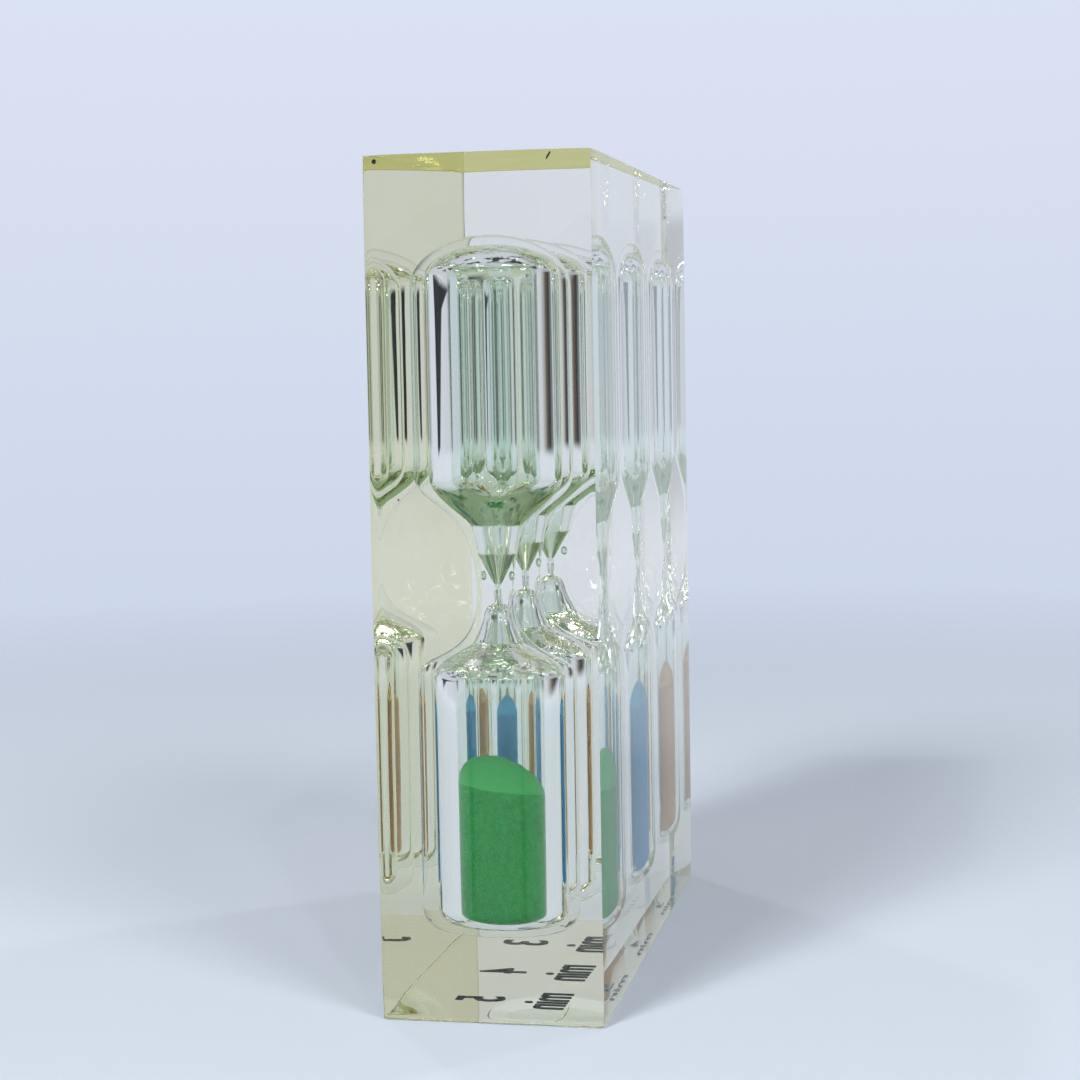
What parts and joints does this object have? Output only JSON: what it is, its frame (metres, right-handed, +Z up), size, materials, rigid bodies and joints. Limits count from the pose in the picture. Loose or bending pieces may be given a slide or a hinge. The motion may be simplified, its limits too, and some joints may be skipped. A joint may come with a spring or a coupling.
{
  "type": "triple sand timer",
  "caption": "Clear cast block with glass hourglass vials standing in a row inside it, each with a charge of coloured sand that falls to the other bulb when the block is turned over.",
  "frame": {"origin": "centre of the block's underside", "axes": "+X along the row of vials from green to orange, -Y out of the front face, +Z up along the vials"},
  "size_m": [0.076, 0.0264, 0.1],
  "materials": {
    "clear_block": "polished",
    "vial_glass": "polished",
    "green_sand": "matte",
    "blue_sand": "matte",
    "orange_sand": "matte"
  },
  "bodies": {
    "timer": {"block_front": "clear_block", "block_rear": "clear_block", "green_vial": "vial_glass", "blue_vial": "vial_glass", "orange_vial": "vial_glass", "green_seal": "vial_glass", "blue_seal": "vial_glass", "orange_seal": "vial_glass"},
    "green_charge": {"green_sand": "green_sand"},
    "blue_charge": {"blue_sand": "blue_sand"},
    "orange_charge": {"orange_sand": "orange_sand"}
  },
  "joints": [
    {"name": "green_sand_fall", "type": "slide", "parent": "timer", "child": "green_charge", "axis": [0, 0, 1], "range_m": [0, 0.0108]},
    {"name": "blue_sand_fall", "type": "slide", "parent": "timer", "child": "blue_charge", "axis": [0, 0, 1], "range_m": [0, 0.0062]},
    {"name": "orange_sand_fall", "type": "slide", "parent": "timer", "child": "orange_charge", "axis": [0, 0, 1], "range_m": [0, 0.0071]}
  ]
}
